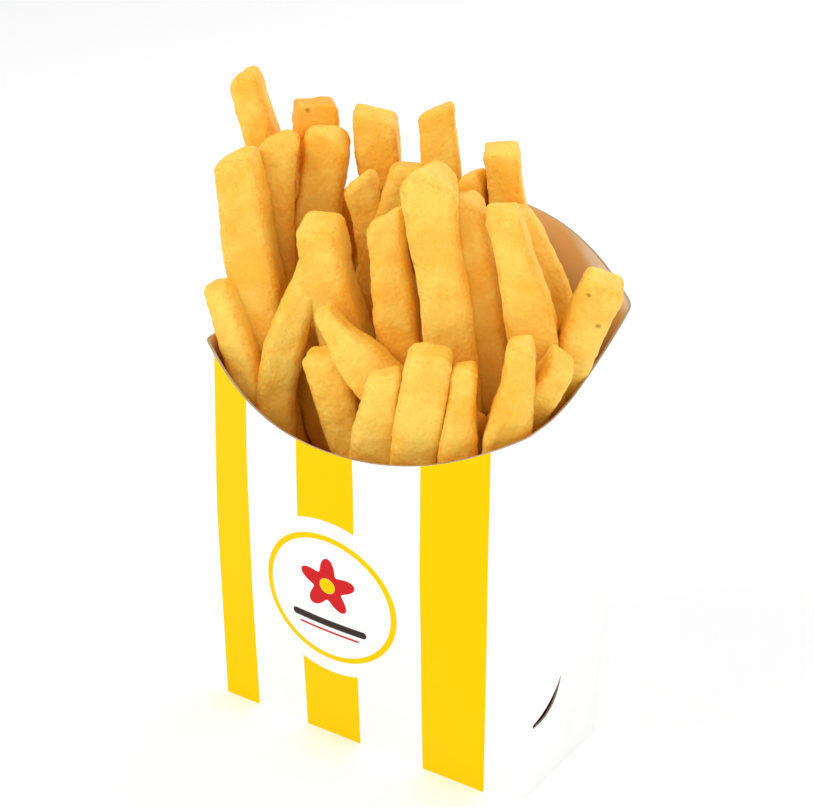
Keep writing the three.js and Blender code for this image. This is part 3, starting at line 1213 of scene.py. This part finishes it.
class StickTree(Group):
    """The geometry node tree that makes a fried stick of potato at each point.

    Each point's mesh attributes are the fields of a fry, in metres and radians. A cube of small cells is put
    at every point, made real, and then shaped: rounded, tapered, hollowed, turned, bent, stood up, dimpled.
    """

    HEAD_CROWDING = 1.25
    HEAD_HOLD = 3.0
    WAVE_SIZE = 21.0
    WAVE_SHARE = 0.32
    WANDER = 4.5
    WANDER_SIZE = 42.0

    def __init__(self) -> None:
        """Builds the tree."""
        super().__init__(
            "FriedSticks",
            "GeometryNodeTree",
            {
                "Geometry": ("NodeSocketGeometry", None),
                "Cells Across": ("NodeSocketInt", 9),
                "Cells Along": ("NodeSocketInt", 50),
                "Corner Radius": ("NodeSocketFloat", 0.0022),
                "Hollow": ("NodeSocketFloat", 0.05),
                "Dimples": ("NodeSocketFloat", 0.0006),
                "Blisters": ("NodeSocketFloat", 0.0002),
                "Material": ("NodeSocketMaterial", None),
            },
            {"Geometry": "NodeSocketGeometry"},
        )
        sticks = self.instances()
        moved = {"Geometry": sticks, "Position": self.place()}
        sticks = self.node("GeometryNodeSetPosition", moved).outputs[0]
        sticks = self.roughen(sticks, "Dimples", 5.5, 11.0)
        sticks = self.roughen(sticks, "Blisters", 1.5, 37.0)
        sticks = self.store(sticks, "edge", self.edges())
        sticks = self.node("GeometryNodeSetShadeSmooth", {0: sticks}).outputs[0]
        sticks = self.node("GeometryNodeRealizeInstances", {0: sticks}).outputs[0]
        dressed = {"Geometry": sticks, "Material": self.given["Material"]}
        sticks = self.node("GeometryNodeSetMaterial", dressed)
        self.finish(Geometry=sticks.outputs[0])

    def read(self, name: str, kind: str = "FLOAT") -> Socket:
        """A named attribute of the points."""
        node = self.node("GeometryNodeInputNamedAttribute", data_type=kind)
        node.inputs["Name"].default_value = name
        return node.outputs["Attribute"]

    def store(self, geometry: Feed, name: str, value: Feed, kind: str = "FLOAT") -> Socket:
        """Keeps a value on the points under a name."""
        node = self.node("GeometryNodeStoreNamedAttribute", data_type=kind, domain="POINT")
        for key, item in (("Geometry", geometry), ("Name", name), ("Value", value)):
            self.feed(node.inputs[key], item)
        return node.outputs[0]

    def instances(self) -> Socket:
        """A cube of cells at each point, made real, with every point's place in its cube kept as local."""
        across = self.math("ADD", self.given["Cells Across"], 1)
        along = self.math("ADD", self.given["Cells Along"], 1)
        cube = self.node(
            "GeometryNodeMeshCube",
            {"Size": (2.0, 2.0, 2.0), "Vertices X": across, "Vertices Y": across, "Vertices Z": along},
        ).outputs["Mesh"]
        cube = self.store(cube, "local", self.node("GeometryNodeInputPosition").outputs[0], "FLOAT_VECTOR")
        standing = {"Points": self.given["Geometry"], "Instance": cube}
        placed = self.node("GeometryNodeInstanceOnPoints", standing)
        return self.node("GeometryNodeRealizeInstances", {0: placed.outputs[0]}).outputs[0]

    def along(self) -> Socket:
        """How far up its fry a point is, from 0 at the foot to 1 at the head, where cells are closer."""
        local = self.separate(self.read("local", "FLOAT_VECTOR"))[2]
        back = self.math("MULTIPLY_ADD", local, -0.5, 0.5, clamp=True)
        return self.math("SUBTRACT", 1.0, self.math("POWER", back, self.HEAD_CROWDING))

    def drift(self, size: float, offset: float) -> Socket:
        """Noise about 0 that runs along each fry and differs from fry to fry."""
        run = self.math("MULTIPLY", self.along(), self.vector("LENGTH", self.span()))
        place = self.combine(0.0, 0.0, run)
        seed = self.math("ADD", self.read("seed"), offset)
        return self.math("SUBTRACT", self.noise(place, size, detail=1.0, w=seed), 0.5)

    def span(self) -> Socket:
        """The vector from a fry's foot to its head."""
        return self.vector("SUBTRACT", self.read("head", "FLOAT_VECTOR"), self.read("foot", "FLOAT_VECTOR"))

    def rounded(self) -> list[Socket]:
        """Each point's place on a straight bar with rounded edges, about the bar's middle."""
        x, y, _ = self.separate(self.read("local", "FLOAT_VECTOR"))
        length = self.vector("LENGTH", self.span())
        half = self.combine(
            self.math("MULTIPLY", self.read("across"), 0.5),
            self.math("MULTIPLY", self.read("deep"), 0.5),
            self.math("MULTIPLY", length, 0.5),
        )
        unit = self.combine(x, y, self.math("MULTIPLY_ADD", self.along(), 2.0, -1.0))
        bar = self.vector("MULTIPLY", unit, half)
        soft = self.math("SUBTRACT", 1.0, self.read("crisp"))
        radius = self.math("MULTIPLY", self.given["Corner Radius"], soft)
        core = self.vector("SUBTRACT", half, self.combine(radius, radius, radius))
        inner = self.vector("MINIMUM", self.vector("MAXIMUM", bar, self.vector("SCALE", core, -1.0)), core)
        outward = self.vector("NORMALIZE", self.vector("SUBTRACT", bar, inner))
        return self.separate(self.vector("ADD", inner, self.vector("SCALE", outward, radius)))

    def section(self) -> tuple[Socket, Socket, Socket]:
        """The bar's points with its section hollowed, varied along its length and narrowed at its head."""
        x, y, z = self.rounded()
        local_x, local_y, _ = self.separate(self.read("local", "FLOAT_VECTOR"))
        hollow = self.given["Hollow"]
        start = self.math("MULTIPLY_ADD", self.read("taper"), -0.7, 0.72)
        feeds = {0: self.along(), 1: start, 2: 1.0, 3: 0.0, 4: 1.0}
        near_head = self.node("ShaderNodeMapRange", feeds, interpolation_type="SMOOTHERSTEP").outputs[0]
        narrow = self.math("SUBTRACT", 1.0, self.math("MULTIPLY", self.read("taper"), near_head))
        widths = []
        for value, other, offset in ((x, local_y, 3.0), (y, local_x, 7.0)):
            crown = self.math("SUBTRACT", 1.0, self.math("POWER", self.math("ABSOLUTE", other), 2.0))
            sunk = self.math("SUBTRACT", 1.0, self.math("MULTIPLY", crown, hollow))
            varied = self.math("MULTIPLY_ADD", self.drift(self.WAVE_SIZE, offset), self.WAVE_SHARE, 1.0)
            widths.append(self.math("MULTIPLY", value, self.math("MULTIPLY", sunk, varied)))
        return self.math("MULTIPLY", widths[0], narrow), widths[1], z

    def place(self) -> Socket:
        """Where each point of each fry belongs."""
        x, y, z = self.section()
        along = self.along()
        turned = self.node(
            "ShaderNodeVectorRotate",
            {"Vector": self.combine(x, y, 0.0), "Angle": self.read("turn")},
            rotation_type="Z_AXIS",
        ).outputs[0]
        x, y, _ = self.separate(turned)
        middle = self.math("MULTIPLY", self.math("MULTIPLY", along, self.math("SUBTRACT", 1.0, along)), 4.0)
        gable = self.math("MULTIPLY", self.math("ABSOLUTE", x), self.read("peak"))
        slope = self.math("SUBTRACT", self.math("MULTIPLY", self.read("slant"), x), gable)
        slope = self.math("MULTIPLY", slope, self.math("POWER", along, self.HEAD_HOLD))
        side = self.math("MULTIPLY_ADD", self.read("bow"), middle, x)
        deep = self.math("MULTIPLY_ADD", self.drift(self.WANDER_SIZE, 19.0), self.WANDER * MM, y)
        side = self.math("MULTIPLY_ADD", self.drift(self.WANDER_SIZE, 23.0), self.WANDER * MM, side)
        length = self.vector("LENGTH", self.span())
        high = self.math("ADD", self.math("MULTIPLY_ADD", length, 0.5, z), slope)
        lean = self.node("FunctionNodeAlignRotationToVector", {"Vector": self.span()}, axis="Z").outputs[0]
        upright = self.combine(side, deep, high)
        standing = self.node("FunctionNodeRotateVector", {0: upright, 1: lean}).outputs[0]
        return self.vector("ADD", standing, self.read("foot", "FLOAT_VECTOR"))

    def roughen(self, geometry: Feed, depth: str, size: float, offset: float) -> Socket:
        """Moves the skin in and out by noise.

        Args:
            geometry: the fries.
            depth: the input that says how far.
            size: the size of the noise's features.
            offset: what keeps this noise apart from the others.

        Returns:
            The rougher fries.
        """
        place = self.node("GeometryNodeInputPosition").outputs[0]
        seed = self.math("ADD", self.read("seed"), offset)
        bumps = self.math("SUBTRACT", self.noise(place, size, detail=2.0, w=seed), 0.5)
        push = self.math("MULTIPLY", bumps, self.math("MULTIPLY", self.given[depth], 2.0))
        normal = self.node("GeometryNodeInputNormal").outputs[0]
        shift = self.vector("SCALE", normal, push)
        return self.node("GeometryNodeSetPosition", {"Geometry": geometry, "Offset": shift}).outputs[0]

    def edges(self) -> Socket:
        """How near a point is to one of its fry's edges, from 0 on a face to 1 on an edge."""
        x, y, z = (self.math("ABSOLUTE", item) for item in self.separate(self.read("local", "FLOAT_VECTOR")))
        long_edge = self.math("POWER", self.math("MULTIPLY", x, y), 3.0)
        end_edge = self.math("POWER", self.math("MULTIPLY", z, self.math("MAXIMUM", x, y)), 12.0)
        return self.math("MAXIMUM", long_edge, end_edge)


@dataclass
class FryHeap:
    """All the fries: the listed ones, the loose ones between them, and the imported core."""

    fried: FriedGroup
    seed: int = 5
    inner_step: float = 11.5
    inner_length: tuple[float, float] = (34.0, 52.0)
    inner_lean: float = 7.0
    inner_room: float = 8.0
    core_top: float = 56.0
    hollow: tuple[float, float] = (-14.5, -23.0)
    hollow_radius: float = 18.0
    carton: Carton | None = None

    def build(self) -> None:
        """Makes one piece for each row of fries, and the core below them."""
        material = PotatoFinish(self.fried).material()
        tree = StickTree()
        rows = dict(FRIES)
        rows[Row.INNER] = tuple(self.inner_fries())
        pieces = [self.sticks(tree, row, fries, material) for row, fries in rows.items()]
        core = self.core(material)
        for piece in [*pieces, core]:
            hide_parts("fries")

    def inner_fries(self) -> list[Fry]:
        """Short fries that fill the carton between the tall ones, at random but always the same.

        Returns:
            The fries.
        """
        draw = random.Random(self.seed)
        fries = []
        x = -38.0
        while x <= 38.0:
            y = -25.0
            while y <= 25.0:
                place = (x + draw.uniform(-3, 3), y + draw.uniform(-3, 3))
                fry = self.inner_fry(draw, *place)
                if fry is not None:
                    fries.append(fry)
                y += self.inner_step
            x += self.inner_step
        return fries

    def inner_fry(self, draw: random.Random, x: float, y: float) -> Fry | None:
        """One short fry near a place, or None where it would come too near the board.

        Args:
            draw: the source of random numbers.
            x: how far across it stands.
            y: how far back it stands.

        Returns:
            The fry, or None.
        """
        top = 88 + 0.42 * (y + 37) + draw.uniform(0, 12)
        length = draw.uniform(*self.inner_length)
        lean = [draw.uniform(-self.inner_lean, self.inner_lean) for _ in range(2)]
        turn = draw.uniform(0, 90)
        tone = draw.uniform(0.3, 0.65)
        slant = draw.uniform(-0.4, 0.4)
        head = (x + lean[0], y + lean[1], top)
        foot = (x - lean[0] / 2, y, top - length)
        if min(self.carton.room(*head), self.carton.room(*foot)) < self.inner_room:
            return None
        if math.dist(head[:2], self.hollow) < self.hollow_radius:
            return None
        return Fry(head, foot, 9.5, 9.5, 0, turn, slant, 0.1, tone)

    def points(self, name: str, fries: Sequence[Fry]) -> Piece:
        """An object with one point for each fry, which carries the fry's fields.

        Args:
            name: the object's name.
            fries: the fries.

        Returns:
            The object.
        """
        mesh = bpy.data.meshes.new(name)
        mesh.from_pydata([[c * MM for c in fry.foot] for fry in fries], [], [])
        vectors = {
            label: [[c * MM for c in getattr(fry, label)] for fry in fries] for label in ("head", "foot")
        }
        for label, rows in vectors.items():
            layer = mesh.attributes.new(label, "FLOAT_VECTOR", "POINT")
            layer.data.foreach_set("vector", np.array(rows, dtype=np.float32).ravel())
        numbers = {
            "across": [fry.across * MM for fry in fries],
            "deep": [fry.deep * MM for fry in fries],
            "bow": [fry.bow * MM for fry in fries],
            "turn": [math.radians(fry.turn) for fry in fries],
            "slant": [fry.slant for fry in fries],
            "taper": [fry.taper for fry in fries],
            "peak": [fry.peak for fry in fries],
            "crisp": [fry.crisp for fry in fries],
            "tone": [fry.tone for fry in fries],
            "seed": [fry.head[0] * 0.37 + fry.head[2] * 0.11 for fry in fries],
        }
        for label, values in numbers.items():
            layer = mesh.attributes.new(label, "FLOAT", "POINT")
            layer.data.foreach_set("value", np.array(values, dtype=np.float32))
        holder = bpy.data.objects.new(name, mesh)
        bpy.context.scene.collection.objects.link(holder)
        return holder

    def sticks(self, tree: StickTree, row: Row, fries: Sequence[Fry], material: Material) -> Piece:
        """Makes a row of fries as one piece.

        Args:
            tree: the tree that makes them.
            row: which row they are.
            fries: the fries.
            material: their material.

        Returns:
            The piece.
        """
        holder = self.points(row.value + "_points", fries)
        modifier = holder.modifiers.new("sticks", "NODES")
        modifier.node_group = tree.tree
        values = {
            "Cells Across": 8 if row is Row.INNER else 15,
            "Cells Along": 26 if row is Row.INNER else 90,
            "Corner Radius": 2.8 * MM,
            "Hollow": 0.03,
            "Dimples": 0.7 * MM,
            "Blisters": 0.26 * MM,
            "Material": material,
        }
        for label, value in values.items():
            modifier[tree.sockets[label]] = value
        holder.update_tag()
        mesh = baked(holder, row.value)
        return put(row.value, mesh, [material])

    def core(self, material: Material) -> Piece:
        """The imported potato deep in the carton, a lumpy body clear of the board.

        Args:
            material: its material.

        Returns:
            The piece.
        """
        carton = self.carton
        inset = 5.0
        levels = 24
        lumps = 1.2
        columns = [c for number, c in enumerate(carton.columns()) if number % 3 == 0]
        draw = random.Random(self.seed + 1)
        points = []
        for level in range(levels + 1):
            share = level / levels
            for column in columns:
                x, y = column.at(self.core_top * share, inset)
                shrink = 1 - draw.uniform(0, lumps) / 40
                top = self.core_top + 0.42 * (y + 37)
                points.append((x * shrink, y * shrink, 6 + (top - 6) * share + draw.uniform(-0.5, 0.5)))
        count = len(columns)
        points += [(0.0, 0.0, 6.0), (0.0, 0.0, self.core_top + 16)]
        faces = []
        for level in range(levels):
            for i in range(count):
                j = (i + 1) % count
                a, b = level * count + i, level * count + j
                faces.append([a, b, b + count, a + count])
        for i in range(count):
            j = (i + 1) % count
            faces += [[len(points) - 2, j, i], [len(points) - 1, levels * count + i, levels * count + j]]
        mesh = mesh_of("fries_core", np.array(points), faces)
        layer = mesh.attributes.new("tone", "FLOAT", "POINT")
        layer.data.foreach_set("value", np.full(len(points), 1.0, dtype=np.float32))
        shade(mesh, 80)
        return put("fries_core", mesh, [material])


@dataclass(frozen=True)
class Studio:
    """The pale floor, the soft lights and the camera."""

    azimuth: float = 32.9
    elevation: float = 27.0
    roll: float = 0.8
    distance: float = 610.0
    target: Triple = (-2.1, 0.0, 92.6)
    lens: float = 106.2
    floor_colour: Colour = (0.97, 0.97, 0.97)

    def build(self) -> None:
        """Sets up the studio."""
        self.floor()
        self.camera()
        self.lamp("key", (-420, -620, 760), 520, 3.9)
        self.lamp("fill", (760, -260, 420), 600, 1.7)
        self.lamp("rim", (150, 700, 640), 500, 2.2)
        world = bpy.data.worlds.new("studio")
        bpy.context.scene.world = world
        world.use_nodes = True
        world.node_tree.nodes["Background"].inputs["Color"].default_value = (1.0, 1.0, 1.0, 1.0)
        world.node_tree.nodes["Background"].inputs["Strength"].default_value = 0.72
        bpy.context.scene.view_settings.view_transform = "Standard"

    def floor(self) -> None:
        """The plain pale floor."""
        half = 3000.0
        points = [(-half, -half, 0.0), (half, -half, 0.0), (half, half, 0.0), (-half, half, 0.0)]
        mesh = mesh_of("floor", np.array(points), [[0, 1, 2, 3]])
        material = bpy.data.materials.new("floor")
        material.use_nodes = True
        shader = material.node_tree.nodes["Principled BSDF"]
        shader.inputs["Base Color"].default_value = rgba(self.floor_colour)
        shader.inputs["Roughness"].default_value = 0.8
        mesh.materials.append(material)
        floor = bpy.data.objects.new("floor", mesh)
        bpy.context.scene.collection.objects.link(floor)

    def camera(self) -> None:
        """The camera, which looks at the target from the front, the right and above."""
        turn, lift = math.radians(self.azimuth), math.radians(self.elevation)
        away = Vector((math.sin(turn) * math.cos(lift), -math.cos(turn) * math.cos(lift), math.sin(lift)))
        data = bpy.data.cameras.new("camera")
        data.lens = self.lens
        data.sensor_width = 36.0
        data.clip_start = 0.01
        camera = bpy.data.objects.new("camera", data)
        camera.location = (Vector(self.target) + away * self.distance) * MM
        level = away.to_track_quat("Z", "Y")
        camera.rotation_euler = (Quaternion(away, math.radians(self.roll)) @ level).to_euler()
        bpy.context.scene.collection.objects.link(camera)
        bpy.context.scene.camera = camera

    @staticmethod
    def lamp(name: str, place: Triple, size: float, power: float) -> None:
        """A soft square lamp that points at the object's middle.

        Args:
            name: its name.
            place: where it hangs.
            size: its side.
            power: its power in watts.
        """
        data = bpy.data.lights.new(name, "AREA")
        data.size = size * MM
        data.energy = power
        lamp = bpy.data.objects.new(name, data)
        lamp.location = Vector(place) * MM
        lamp.rotation_euler = (Vector(place) - Vector((0, 0, 90))).to_track_quat("Z", "Y").to_euler()
        bpy.context.scene.collection.objects.link(lamp)


def main() -> None:
    """Builds the carton, the fries and the studio."""
    logging.basicConfig(level=logging.INFO, format="%(name)s: %(message)s")
    carton = Carton(FibreGroup())
    carton.build()
    FryHeap(FriedGroup(), carton=carton).build()
    Studio().build()


if __name__ == "__main__":
    main()
